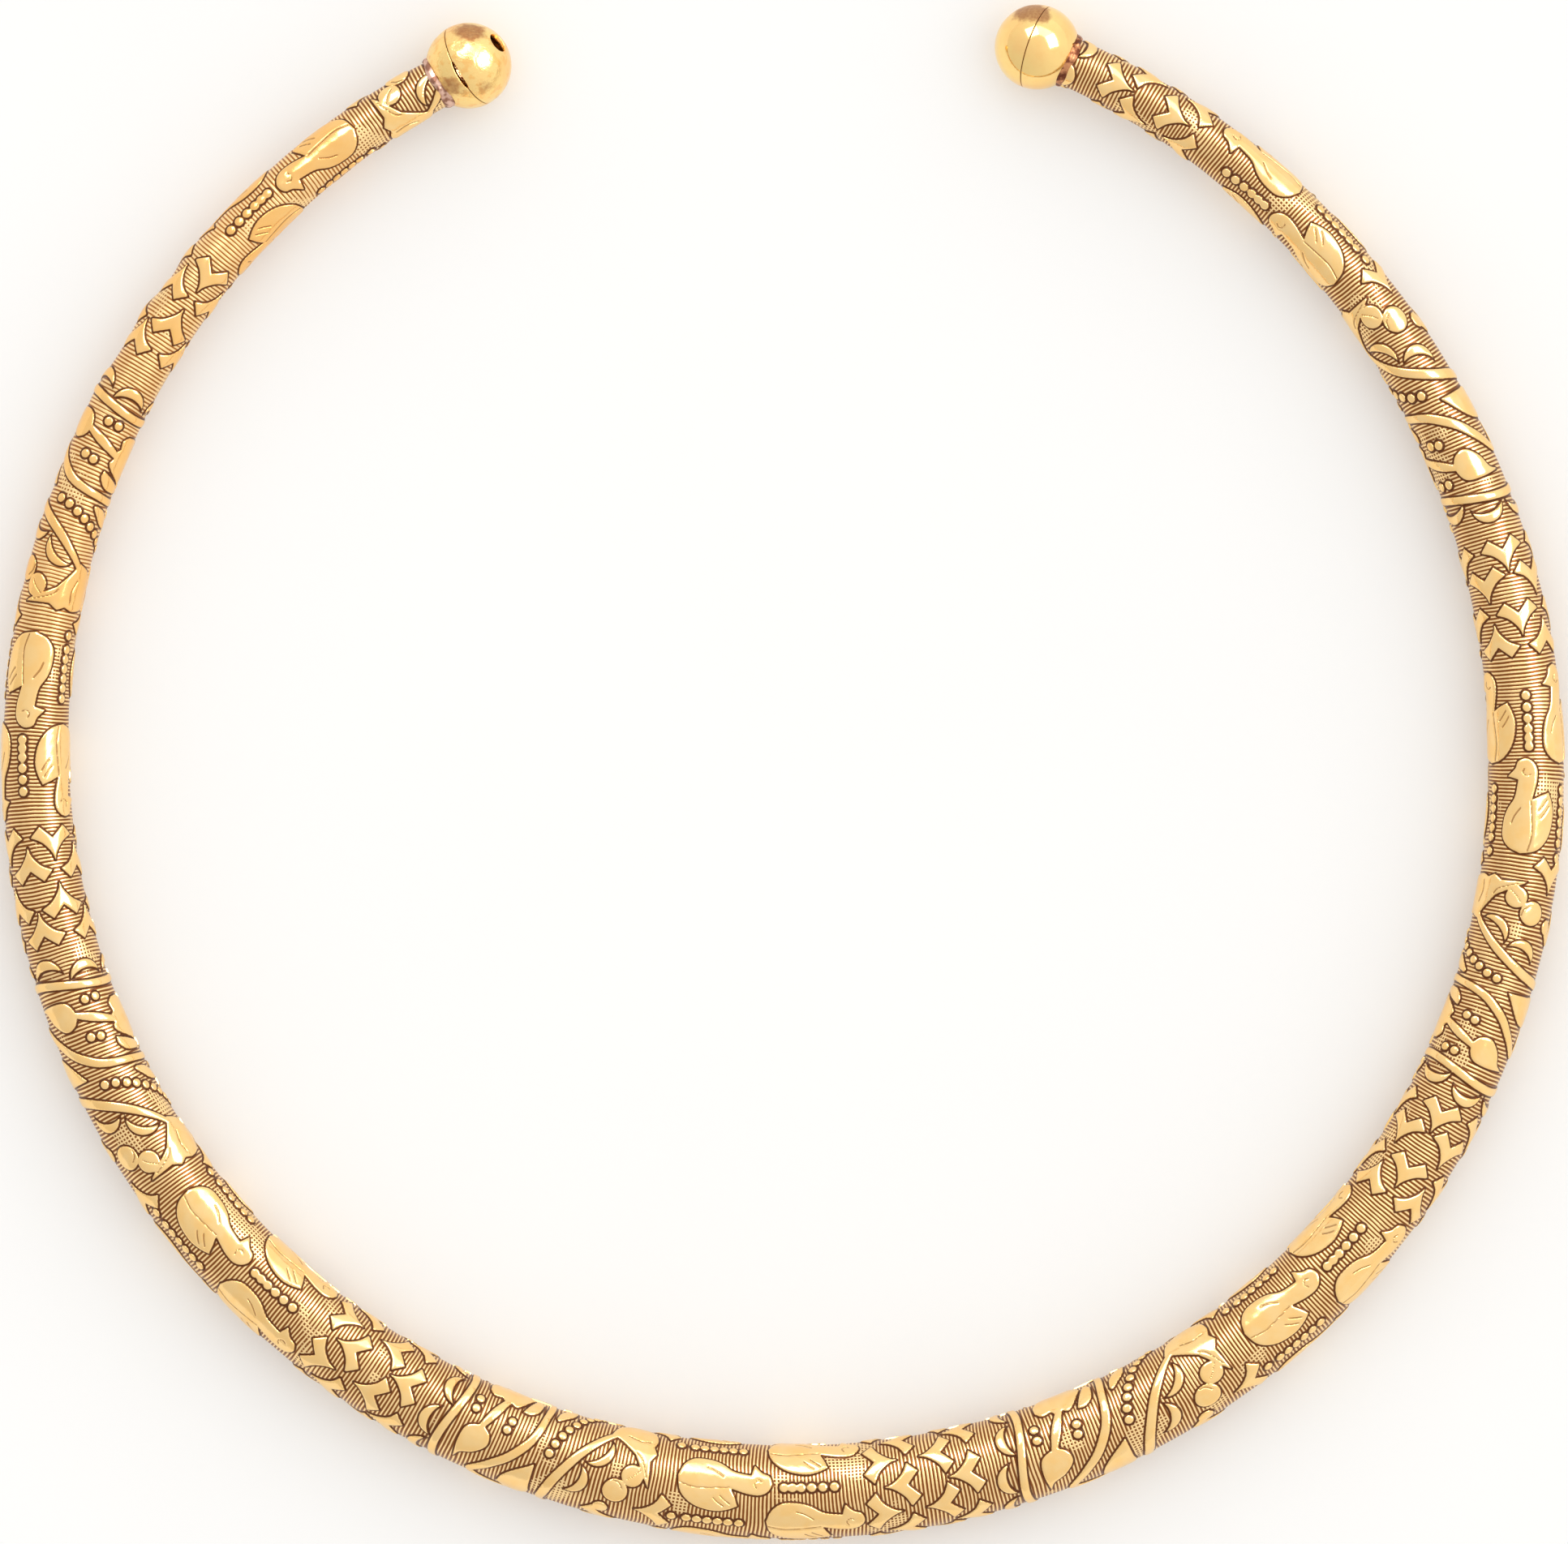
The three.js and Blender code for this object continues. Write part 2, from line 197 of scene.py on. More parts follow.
def to_line(points, x, y, width=0):
    """Distance from each place to a line of points, less the line's own half width there."""
    nearest = np.full(np.broadcast(x, y).shape, np.inf)
    widths = points[:, 2] if points.shape[1] > 2 else np.full(len(points), width)
    for (ax, ay), (bx, by), wa, wb in zip(points[:-1, :2], points[1:, :2], widths[:-1], widths[1:]):
        dx, dy = bx - ax, by - ay
        t = np.clip(((x - ax) * dx + (y - ay) * dy) / (dx * dx + dy * dy), 0, 1)
        gap = np.hypot(x - ax - t * dx, y - ay - t * dy) - wa - t * (wb - wa)
        nearest = np.minimum(nearest, gap)
    return nearest


def box_of(points, grow=0.0):
    x, y = np.array(points)[:, :2].T
    return x.min() - grow, x.max() + grow, y.min() - grow, y.max() + grow


def leaf(*stretches, lines=()):
    """A closed outline, smooth along each stretch and with a corner where two of them meet."""
    parts = []
    start = stretches[-1][-1]
    for stretch in stretches:
        parts.append(curve([start, *stretch])[:-1])
        start = stretch[-1]
    ring = np.concatenate([*parts, parts[0][:1]])

    def depth(x, y):
        odd = np.zeros(np.broadcast(x, y).shape, bool)
        for (ax, ay), (bx, by) in zip(ring[:-1], ring[1:]):
            if ay != by:
                odd ^= ((ay > y) != (by > y)) & (x < ax + (bx - ax) * (y - ay) / (by - ay))
        return np.where(odd, 1, -1) * to_line(ring, x, y)

    return Form(box_of(ring), depth, lines)


def rib(*points, lines=()):
    """A line with a half width at each of its points: (x, y, half width)."""
    path = curve(points)
    return Form(box_of(path, path[:, 2].max()), lambda x, y: -to_line(path, x, y), lines)


def beads(centres, size=0.36, lines=()):
    def depth(x, y):
        return size - np.min([np.hypot(x - a, y - b) for a, b in centres], axis=0)

    return Form(box_of(centres, size), depth, lines, beaded=size < 0.5)


def crescent(tip_a, tip_b, bulge, hollow_bulge):
    """A moon between two circles that meet at its tips. It swells to the left of the way from a to b."""
    a, b = np.array(tip_a, float), np.array(tip_b, float)
    half = np.linalg.norm(b - a) / 2
    step = (b - a) / (2 * half)
    left = np.array([-step[1], step[0]])
    outer, inner = [(half**2 + h**2) / (2 * h) for h in (bulge, hollow_bulge)]
    c = (a + b) / 2 + left * (bulge - outer)
    d = (a + b) / 2 + left * (hollow_bulge - inner)

    def depth(x, y):
        return np.minimum(outer - np.hypot(x - c[0], y - c[1]), np.hypot(x - d[0], y - d[1]) - inner)

    return Form(box_of([a, b, (a + b) / 2 + left * bulge]), depth)


# %% [markdown]
# A form is printed once in every row round the tube. The sheet was not always laid alike on the die, so
# each strike has a shift of its own, and a band may come out a little longer or shorter. Grime gathers
# round a form, the most round beads, and soil says how much of it.


# %% Print a form
def strike(form, start, shift, pitch, stretch=1.0, soil=0.3):
    """Prints a form at a distance along the tube, once in each row, pitch mm apart round it."""
    low_x, high_x, low_y, high_y = form.box
    i, k = np.searchsorted(along, [start + low_x * stretch - reach, start + high_x * stretch + reach])
    if k - i < 2:
        return 0
    y_all = around[i:k]
    lowest = math.ceil((y_all.min() - high_y - reach - shift) / pitch)
    highest = math.floor((y_all.max() - low_y + reach - shift) / pitch)
    x = (along[i:k, None] - start) / stretch
    for row in range(lowest, highest + 1):
        centre = shift + row * pitch
        j = (y_all < centre + low_y - reach).sum(1).min()
        m = (y_all < centre + high_y + reach).sum(1).max()
        y = y_all[:, j:m] - centre
        deep = form.depth(x, y)
        inside[i:k, j:m] = np.maximum(inside[i:k, j:m], deep)
        soiled[i:k, j:m] = np.maximum(soiled[i:k, j:m], soil * smooth(deep, -0.5, -0.1))
        for line in form.lines:
            crease[i:k, j:m] = np.minimum(crease[i:k, j:m], to_line(line, x, y))
    return highest - lowest + 1


die_width = 15.0
form_soil, chevron_soil, bead_soil = 0.35, 0.45, 0.9

# %% [markdown]
# ## Chevrons
# The first band is four columns of chevrons, three to the die's width. Their arms end square and flare,
# and their outer edges are hollow curves, so that the ground between them is a row of pointed ovals.


# %% The chevron band
def chevron(points):
    """A chevron with its tip at 0, 0 that points along +x (1) or -x (-1)."""
    def at(x, y):
        return (-points * x, y)

    half = [at(0.55, 0.16), at(1.15, 0.55), at(1.75, 1.15), at(2.2, 2.05)]
    other = [at(2.2, -2.05), at(1.75, -1.15), at(1.15, -0.55), at(0.55, -0.16), at(0, 0)]
    return leaf(half, [at(3.1, 1.15)], [at(2.05, 0)], [at(3.1, -1.15)], [other[0]], other[1:])


chevron_strikes = [
    (25.8, 2.0), (80.2, 1.2), (133.2, -0.6), (185.3, -0.1), (239.8, -0.1), (291.5, 0.6), (347.2, 0.1),
]
chevron_columns = [(3.1, 0.5, 1), (1.75, 0, -1), (5.15, 0.5, -1), (7.55, 0, -1)]  # tip, row, pointing
printed = 0
for start, shift in chevron_strikes:
    for tip, row, points in chevron_columns:
        pitch = die_width / 3
        printed += strike(chevron(points), start + tip, shift + row * pitch, pitch, soil=chevron_soil)
print("chevrons:", printed)

# %% [markdown]
# ## Vines
# The second band starts with a rib that waves as it goes round, behind a row of crescents. Two ribs then
# cross the sheet on a slant, one of which curls into a fan leaf, with leaves, dots and berries between.
# The last strike is nearly all cut off by the end of the tube.

# %% The vine band
rib_swing = 0.55
wave = [(-rib_swing * math.sin(2 * math.pi * y / die_width), y) for y in np.linspace(-7.5, 7.5, 13)]
wavy_rib = rib(*[(x, y, 0.34) for x, y in wave])
vine_forms = [
    leaf([
        (1.9, 3.6), (3.0, 3.0), (3.95, 1.9), (3.7, 0.8), (2.7, 0.36), (1.55, 0.9), (1.3, 2.3), (1.5, 4.5),
    ]),
    rib((2.85, 0.3, 0.26), (3.5, -1.2, 0.4), (4.3, -3.0, 0.28)),
    beads([(1.67, -0.95), (1.7, -2.0)], 0.38),
    beads([(5.15, -0.2), (5.35, -1.1)], 0.38),
    leaf(
        [(2.8, -3.15), (3.6, -3.3)], [(4.1, -2.85), (4.7, -2.95)], [(5.2, -2.7), (5.9, -3.4), (6.7, -4.9)],
        [(5.4, -6.6), (3.4, -6.4), (2.3, -5.0), (2.25, -3.7)],
    ),
    leaf([(6.7, -2.45), (7.5, -3.2), (7.7, -4.6)], [(7.2, -5.2), (6.6, -4.0), (6.0, -2.5)]),
    leaf([(6.15, 4.4), (6.95, 3.3), (8.6, 1.98)], [(8.65, 4.4), (8.7, 5.8), (7.4, 7.0), (5.9, 5.6)]),
    rib(
        (8.57, 8.6, 0.3), (6.4, 7.4, 0.36), (4.0, 6.4, 0.36), (3.3, 5.4, 0.37), (4.7, 3.63, 0.38),
        (6, 2.32, 0.38), (6.97, 1.09, 0.38), (7.65, 0, 0.36), (8.1, -1.3, 0.34), (8.38, -2.9, 0.32),
        (8.6, -4.6, 0.32), (8.57, -6.4, 0.3),
    ),
    beads([(9.6, 0.5), (9.86, -0.5), (10.3, -1.45), (10.75, -2.3), (11.3, -3.15), (11.85, -4.0)], 0.38),
    beads([(12.45, -4.75), (13.1, -5.4), (13.8, -6.0)], 0.38),
    leaf([(9.5, -2.9), (10.2, -3.5), (10.9, -4.3), (11.2, -5.6)], [(10.3, -5.2), (9.6, -4.3), (9.3, -3.2)]),
    rib(
        (10.4, 7.6, 0.15), (9.9, 6.3, 0.34), (10.05, 4.9, 0.42), (10.5, 3.1, 0.42), (11.2, 1.6, 0.4),
        (12.05, 0.22, 0.38), (12.8, -0.75, 0.36), (13.65, -1.67, 0.32), (14.6, -2.6, 0.27),
        (15.6, -3.4, 0.22), (16.6, -3.95, 0.15), (17.3, -4.1, 0.1),
    ),
    crescent((11.9, 3.45), (12.9, 0.8), 1.25, 0.45),
    crescent((13.3, 0.3), (15.2, -2.1), 1.15, 0.45),
    beads([(15.3, 4.5)], 0.66),
    beads([(16.3, 2.25)], 1.12, lines=[[(16.9, 1.9), (16.5, 1.4), (15.9, 1.25)]]),
    beads([(17.6, 0.55)], 1.0, lines=[[(17.2, 0.95), (17.7, 0.55), (18.25, -0.1)]]),
    leaf(
        [(15.9, -2.7), (17.5, -1.5)], [(18.9, 0.9), (19.15, 1.3)], [(19.05, -0.4)], [(19.0, -1.1)],
        [(19.5, -1.9)], [(19.15, -2.6)],
        [(19.4, -3.6), (18.9, -5.0), (17.2, -5.6), (15.6, -4.8), (14.9, -3.3)],
        lines=[[(17.6, -1.7), (18.2, -1.2), (18.9, 0.5)], [(16.5, -3.4), (17.7, -3.0), (18.8, -3.1)]],
    ),
]
vine_chevrons = [(16.9, 6.5, 1), (18.3, 3.8, -1), (18.3, 8.8, -1)]  # tip along, tip round, pointing
vine_strikes = [
    (-13.4, 0.7), (41.3, 1.1), (94.6, 0.2), (147.4, -0.7), (199.6, -0.2), (253.4, -0.6), (306.4, -1.4),
    (361.9, 0.3),
]
bird_strikes = [
    (8.6, 1.3), (62.8, 1.6), (115.9, 0.2), (168.4, -0.1), (222.6, 0.2), (273.8, 0.6), (329.5, -0.9),
    (383.7, 0.3),
]
usual_band = 21.8  # from the wavy rib to the next bird's tail
moon = crescent((-1.05, -1.5), (-0.9, 1.5), 1.3, 0.5)
moons_round = 4
printed = 0
for (start, shift), (tail, _) in zip(vine_strikes, bird_strikes):
    stretch = (tail - start) / usual_band
    printed += strike(wavy_rib, start, shift, die_width)
    for form in vine_forms:
        soil = bead_soil if form.beaded else form_soil
        printed += strike(form, start, shift, die_width, stretch, soil)
    for tip, y, points in vine_chevrons:
        printed += strike(chevron(points), start + tip * stretch, shift + y, die_width)
    for row in range(moons_round):
        y = die_width / moons_round * (row - 1.5)
        lean = -rib_swing * math.sin(2 * math.pi * y / die_width)
        printed += strike(moon, start + lean, shift + y, die_width)
print("vine forms:", printed)

# %% [markdown]
# ## Birds
# The third band is two columns of birds that walk along the tube with their heads turned down, each a
# body and a folded wing under one outline, with rows of beads between them.

# %% The bird band
bird = leaf(
    [(0.29, 0.36), (1.02, 1.23), (2.1, 1.8), (3.56, 2.03), (4.65, 1.8), (5.5, 1.4)],
    [(5.2, 0.6), (4.8, -0.22)],
    [
        (5.7, 0.02), (6.46, 0.2), (7.4, 0.26), (8.1, -0.05), (8.5, -0.73), (8.28, -1.5), (7.6, -1.8),
        (6.9, -2.5),
    ],
    [(6.62, -1.5)],
    [(5.0, -1.8), (3.9, -2.45), (2.83, -2.78), (1.38, -2.76), (0.44, -2.05), (0, -0.94)],
    lines=[
        [(0.2, -0.3), (1.6, -0.02), (3.3, -0.15), (4.7, -0.3)],
        [(3.3, 0.75), (3.75, 1.15), (4.3, 1.5)],
        [(3.9, 0.5), (4.3, 0.85), (4.85, 1.25)],
        [(7.1, -0.35), (6.95, -0.75), (7.25, -1.1), (7.6, -0.95)],
        [(2.6, -2.0), (3.3, -1.75), (4.1, -1.2)],
    ],
)
long_bead_row = beads([(u, 0) for u in (-0.1, 1.2, 2.1, 3.0, 3.9, 4.8, 5.75)], 0.38)
short_bead_row = beads([(u, 0) for u in (9.6, 10.35, 11.15, 12.1, 13.1, 14.15)], 0.4)
bird_columns = [(0, 0, long_bead_row), (8.1, 0.5, short_bead_row)]  # place, row, beads between the rows
bead_row_shift = -0.5
printed = 0
for start, shift in bird_strikes:
    pitch = die_width / 2
    for column, row, row_of_beads in bird_columns:
        printed += strike(bird, start + column, shift + row * pitch, pitch)
        between_rows = shift + bead_row_shift + (row + 0.5) * pitch
        printed += strike(row_of_beads, start, between_rows, pitch, soil=bead_soil)
print("birds and bead rows:", printed)

# %% [markdown]
# ## From print to relief
# The relief is low: each form rises only a seventh of a millimetre over a steep shoulder to a nearly flat
# top, and a faint moat runs round it. Between the crescents and the wavy rib the die cut deepest. The left
# arm has been rubbed and knocked about the most, so its relief is lower still.

# %% The relief
relief, cut_depth, moat_depth, hollow_depth = 0.14, 0.05, 0.025, 0.06
worn_loss = 0.35
worn = smooth(along, 5, 12) * (1 - smooth(along, 56, 70))
for start, shift in vine_strikes:
    i, k = np.searchsorted(along, [start - 2.5, start + 1])
    lean = -rib_swing * np.sin(2 * math.pi * (around[i:k] - shift) / die_width)
    behind = along[i:k, None] - start - lean
    hollow[i:k] = np.maximum(hollow[i:k], bump(behind, -0.9, 0.4))
rise = smooth(inside, -0.12, 0.07)
crown = 0.02 * smooth(inside, 0, 0.3) + 0.03 * smooth(inside, 0.1, 1.4)
cut = bump(crease, 0, 0.1) * rise
moat = bump(inside, -0.17, 0.08)
height = relief * (1 - worn_loss * worn[:, None]) * (rise - 1) + crown
height -= cut_depth * cut + moat_depth * moat + hollow_depth * hollow * (1 - rise)
height += 0.02 * ripple(3, 9, along[:, None], around) + 0.006 * ripple(4, 1.6, along[:, None], around)

knocks = [  # distance along, degrees from the top line, height and length: most are on the left arm
    (26.5, 90, 0.16, 1.6), (32.8, 95, 0.14, 1.8), (40.6, 90, 0.14, 2.0), (29.5, 80, -0.12, 2.0),
    (37.0, 85, -0.1, 2.4), (49, 80, -0.1, 3.0), (19, -60, -0.08, 2.5), (58, 60, -0.1, 2.5),
    (286, 75, -0.08, 2.5),
]
knock_spread = 0.7  # radians round the tube
angle = around / radius[:, None]
for place, degrees, depth, length in knocks:
    spread = bump(angle, math.radians(degrees), knock_spread)
    height += depth * bump(along, place, length)[:, None] * spread

seam_depth, opening_depth, lip_fall, lip_width = 0.3, 0.9, 0.06, 0.12
seam_gap = np.minimum(from_seam, girth_round[:, None] - from_seam)
wall = (seam_gap < 0.95 * seam_half[:, None]).astype(float)
height -= wall * (seam_depth + opening_depth * np.clip(opened, 0, 1))[:, None]
height -= lip_fall * bump(seam_gap, seam_half[:, None], lip_width) * (1 - wall)
print("relief from", round(height.min(), 2), "to", round(height.max(), 2), "mm")

# %% [markdown]
# The grid is wrapped round the centreline. What would reach below the table is pressed flat there, which
# is the small flat that the ring rests on. Shading normals come from the whole grid, so that no line
# shows where the tube is cut into five pieces to keep each mesh small.

# %% Wrap the sheet round the line
centre = np.stack([np.interp(along, line_lengths, line_points[:, k]) for k in range(3)], 1)
tangent = np.gradient(centre, along, axis=0)
tangent /= np.linalg.norm(tangent, axis=1)[:, None]
outward = np.cross(tangent, (0, 0, 1))
outward /= np.linalg.norm(outward, axis=1)[:, None]
upward = np.cross(outward, tangent)
arm = (radius[:, None] + height)[..., None]
skin = centre[:, None] + arm * (
    np.sin(angle)[..., None] * outward[:, None] + np.cos(angle)[..., None] * upward[:, None]
)
skin[..., 2] = np.maximum(skin[..., 2], 0)
down_rows = np.gradient(skin, axis=0)
round_columns = np.roll(skin, -1, axis=1) - np.roll(skin, 1, axis=1)
normals = np.cross(round_columns, down_rows)
normals /= np.linalg.norm(normals, axis=2)[..., None] + 1e-12


def add_piece(name, points, faces, fields, shading=None):
    """A mesh from points in mm, with its named fields of three numbers a point."""
    mesh = bpy.data.meshes.new(name)
    mesh.from_pydata((points * MM).tolist(), [], faces)
    mesh.shade_smooth()
    for field, values in fields.items():
        store = mesh.attributes.new(field, "FLOAT_VECTOR", "POINT")
        store.data.foreach_set("vector", np.ascontiguousarray(values, np.float32).ravel())
    if shading is not None:
        mesh.normals_split_custom_set_from_vertices(shading)
    piece = bpy.data.objects.new(name, mesh)
    bpy.context.scene.collection.objects.link(piece)
    return piece


def face_outwards(piece, weld=False):
    """Turns a closed shell's faces outwards, and first welds the points that coincide."""
    bm = bmesh.new()
    bm.from_mesh(piece.data)
    if weld:
        bmesh.ops.remove_doubles(bm, verts=bm.verts, dist=1e-8)
    bmesh.ops.recalc_face_normals(bm, faces=bm.faces)
    bm.to_mesh(piece.data)
    bm.free()


# %% The five lengths of tube
hollow_dirt, wall_dirt, seam_dirt = 0.5, 0.9, 0.5
dirt = hollow_dirt * hollow * (1 - rise) + wall_dirt * wall + seam_dirt * bump(seam_gap, 0, 0.5)
dirt = np.clip(dirt + soiled, 0, 1)
tint = np.broadcast_to((worn * (0.75 + 0.25 * ripple(6, 12, along)))[:, None], around.shape)
strip = np.stack([np.broadcast_to(along[:, None], around.shape), around, inside], -1)
wear = np.stack([crease, tint, dirt], -1)
lengths = ["tube_left_arm", "tube_left_side", "tube_front", "tube_right_side", "tube_right_arm"]
rows_each = row_count // len(lengths)
tube_pieces = []
for n, name in enumerate(lengths):
    part = slice(n * rows_each, (n + 1) * rows_each + 1)
    corner = (np.arange(rows_each)[:, None] * column_count + np.arange(column_count)).ravel()
    aside = np.where(corner % column_count == column_count - 1, corner + 1 - column_count, corner + 1)
    faces = np.stack([corner, aside, aside + column_count, corner + column_count], 1).tolist()
    if n == 0:
        faces.append(list(range(column_count))[::-1])
    if n == len(lengths) - 1:
        faces.append([rows_each * column_count + j for j in range(column_count)])
    fields = {"strip": strip[part].reshape(-1, 3), "wear": wear[part].reshape(-1, 3)}
    piece = add_piece(name, skin[part].reshape(-1, 3), faces, fields, normals[part].reshape(-1, 3))
    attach(piece, "root")
    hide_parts("tube")
    tube_pieces.append(piece)
    print(name, len(piece.data.polygons), "faces")

# %% [markdown]
# ## The balls
# Each ball is two cups of sheet, joined rim to rim, with a round hole in the outer one. A cup is a
# closed shell: its outer face, its rim, its inner face and the edge of its hole, all swept round the
# middle of the hole. The left ball is dented, and its seam has sprung open at the top.


# %% One cup
def pointing(azimuth, rise):
    a, e = math.radians(azimuth), math.radians(rise)
    return np.array([math.cos(a) * math.cos(e), math.sin(a) * math.cos(e), math.sin(e)])


def unit(v):
    return np.array(v, float) / np.linalg.norm(v)


cup_wall = 0.45
rounding = 0.07
hole_radius = 0.95
around_steps, outer_steps, wall_steps, inner_steps = 128, 56, 4, 14
tight_gap, slit_gap = 0.02, 0.17
seam_poles = {"left": pointing(28.1, 18), "right": pointing(160.5, -13.6)}
hole_ways = {"left": unit((0.717, 0.528, 0.455)), "right": seam_poles["right"]}
slit_way = unit((-0.17, -0.28, 0.94))
slit_half_angle = math.radians(22)
dents = {"left": (22, 0.07), "right": (5, 0.02)}  # how many, and how deep in mm
patina_and_dark_reflection_spots = {  # where brown sits, patina and on the backs a painted dark reflection, how far it reaches as a share of the radius, and how strong it is
    "left": [
        ((0.08, 0.78, 0.6), 0.42, 1.0), ((-0.42, -0.55, 0.7), 0.4, 0.7), ((0.45, -0.5, 0.72), 0.3, 0.5),
    ],
    "right": [((-0.2, 0.85, 0.45), 0.42, 1.0), ((0.12, 0.66, 0.72), 0.25, 0.8)],
}


def ball_middle(ball):
    x, y, _ = on_hoop(ball["angle"], ball["off_line"])
    return np.array([x, y, ball["radius"]])


def rounded(edge):
    """How far a surface falls at this distance from a rounded edge."""
    e = np.clip(edge, 0, rounding)
    return rounding - np.sqrt(rounding**2 - (rounding - e) ** 2)


def cup(ball, outer):
    name, ball_radius = ball["name"], ball["radius"]
    pole = seam_poles[name] * (1 if outer else -1)
    middle = hole_ways[name] if outer else pole
    a = unit(np.cross(middle, (0.3, 0.1, 1)))
    b = np.cross(middle, a)
    turn = np.linspace(0, 2 * math.pi, around_steps, endpoint=False)[:, None]
    sideways = np.cos(turn) * a + np.sin(turn) * b
    to_seam = np.arctan2(middle @ pole, -sideways @ pole)
    on_seam = np.cos(to_seam)[:, None] * middle + np.sin(to_seam)[:, None] * sideways
    gap = np.full(around_steps, tight_gap)
    if name == "left":
        off_slit = np.arccos(np.clip(on_seam @ slit_way, -1, 1)) / slit_half_angle
        gap = gap + slit_gap * np.sqrt(np.clip(1 - off_slit**2, 0, 1))
    low = math.asin(hole_radius / ball_radius) if outer else 0.0
    high = to_seam - gap / ball_radius
    share = 0.5 - 0.5 * np.cos(np.linspace(0, math.pi, outer_steps))
    arc = (high - low) * ball_radius
    fall = rounded((1 - share) * arc[:, None]) + (rounded(share * arc[:, None]) if outer else 0)
    walls = np.linspace(rounding, cup_wall, wall_steps)
    inner_share = np.linspace(1, 0, inner_steps)[1:]
    hole_share = np.zeros(wall_steps - 1 if outer else 0)
    shares_round = np.r_[share, np.ones(wall_steps), inner_share, hole_share]
    rim_wall = np.tile(walls, (around_steps, 1))
    inner_face = np.full((around_steps, inner_steps - 1), cup_wall)
    hole_wall = [rim_wall[:, :0:-1]] if outer else []
    depth = np.concatenate([fall, rim_wall, inner_face, *hole_wall], 1)
    theta = low + (high[:, None] - low) * shares_round
    way = np.cos(theta)[..., None] * middle + np.sin(theta)[..., None] * sideways[:, None]
    count, deep = dents[name]
    draw = np.random.default_rng(11)
    for _ in range(count):
        spot = unit(draw.normal(size=3))
        depth = depth + draw.uniform(0.3, 1) * deep * bump(1 - way @ spot, 0, draw.uniform(0.006, 0.03))
    points = ball_middle(ball) + (ball_radius - depth)[..., None] * way
    steps = points.shape[1]
    n = np.arange(around_steps)[:, None] * steps
    m = np.arange(steps)
    here, onward = n + m, n + (m + 1) % steps
    beside, both = (here + steps) % (around_steps * steps), (onward + steps) % (around_steps * steps)
    faces = np.stack([here, onward, both, beside], -1)
    if not outer:
        faces = faces[:, :-1]
    from_rim = way @ pole * ball_radius
    # brown spots: patina, and on the back of the ball a painted dark reflection
    patina_and_reflection_share = sum(
        amount * bump(np.linalg.norm(way - unit(spot), axis=-1), 0, size)
        for spot, size, amount in patina_and_dark_reflection_spots[name]
    )
    fields = {"ball": np.stack([from_rim, np.clip(depth, 0, 1), patina_and_reflection_share], -1).reshape(-1, 3)}
    ball_side = f"{name}_ball_" + ("outer" if outer else "inner")
    node, shell = ball_side + "_cup", ball_side + "_shell"
    piece = add_piece(shell, points.reshape(-1, 3), faces.reshape(-1, 4).tolist(), fields)
    face_outwards(piece, weld=True)
    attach(piece, "root")
    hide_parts(node)
    print(piece.name, len(piece.data.polygons), "faces")
    return piece


cups = {ball["name"]: [cup(ball, outer) for outer in (True, False)] for ball in (left_ball, right_ball)}

# %% [markdown]
# ## The solder
# Solder ran into the corner between each ball and the end of the tube. It is a hollow fillet, uneven
# where it was filed, with a few grains that balled up on it and never flowed.

# %% Solder fillets
grains = {  # degrees from the top line, and size
    "left": [(-15, 0.16), (-42, 0.1), (5, 0.07)],
    "right": [(42, 0.15), (15, 0.09), (60, 0.08)],
}
solder_steps = 160


def solder(ball, row):
    """The fillet at one end of the tube: row 0 is the left end, and row -1 the right one."""
    away = tangent[row] * (1 if row == 0 else -1)
    r0 = radius[row]
    turn = np.linspace(-math.pi, math.pi, solder_steps, endpoint=False)[:, None]
    t = np.linspace(0, 1, 13)
    run = 0.5 + 0.12 * np.sin(2 * turn + 1) + 0.08 * np.sin(5 * turn)
    climb = 0.3 + 0.1 * np.cos(3 * turn + 2)
    back = run * (1 - t) - 0.45 * t**2
    out = r0 - 0.02 + 0.1 * np.sin(math.pi * np.clip(t * 1.3, 0, 1)) ** 2 + climb * t**2
    for degrees, size in grains[ball["name"]]:
        spot = bump(turn, math.radians(degrees), size / r0) * bump(back, 0.25, size)
        out = out + size * spot
    out = out + 0.015 * ripple(7, 0.5, turn * r0, back)
    under = np.linspace(1, 0, 5)[1:-1]
    back = np.concatenate([back, back[:, -1:] * under + back[:, :1] * (1 - under)], 1)
    out = np.concatenate([out, np.full((solder_steps, len(under)), r0 - 0.25)], 1)
    points = (
        centre[row]
        + back[..., None] * away
        + out[..., None] * (np.sin(turn)[..., None] * outward[row] + np.cos(turn)[..., None] * upward[row])
    )
    steps = points.shape[1]
    here = np.arange(solder_steps)[:, None] * steps + np.arange(steps)
    onward = np.roll(here, -1, axis=1)
    faces = np.stack([here, onward, np.roll(onward, -1, axis=0), np.roll(here, -1, axis=0)], -1)
    name = ball["name"]
    piece = add_piece(f"{name}_solder_fillet", points.reshape(-1, 3), faces.reshape(-1, 4).tolist(), {})
    face_outwards(piece)
    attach(piece, "root")
    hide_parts(f"{name}_solder_ring")
    print(piece.name, len(piece.data.polygons), "faces")
    return piece


fillets = {"left": solder(left_ball, 0), "right": solder(right_ball, -1)}

# %% [markdown]
# ## Shader arithmetic
# A finish is easier to read as sums than as wires, so one small class wraps a socket and turns Python's
# operators into Math nodes.


